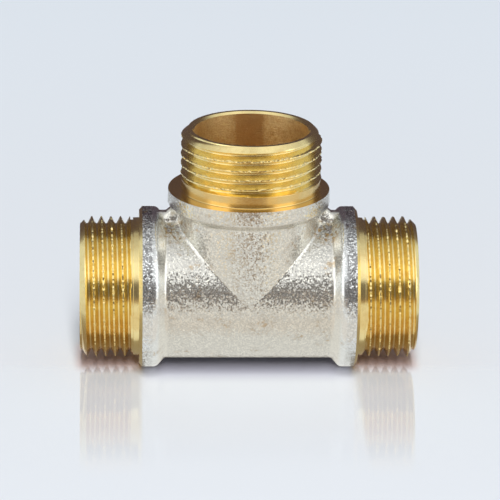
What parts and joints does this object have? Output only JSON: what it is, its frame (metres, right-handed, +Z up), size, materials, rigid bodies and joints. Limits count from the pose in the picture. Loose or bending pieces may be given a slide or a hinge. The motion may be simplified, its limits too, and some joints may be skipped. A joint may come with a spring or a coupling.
{
  "type": "threaded tee",
  "caption": "Forged brass pipe tee, nickel-plated, with equal male pipe threads on its run and branch, a round collar behind each thread and an open waterway through all of them.",
  "frame": {"origin": "on the floor, midway between the two run ends and under the crossing of the axes", "axes": "+X along the run, +Z up the branch, +Y towards the back"},
  "size_m": [0.0634, 0.0304, 0.0464],
  "materials": {
    "nickel_plate": "satin nickel plate over a blasted brass forging, warm grey, finely grained",
    "turned_brass": "bright turned brass, bare where the threads, end faces and bores were machined"
  },
  "bodies": {
    "root": {"tee_body": "nickel_plate"}
  },
  "joints": []
}
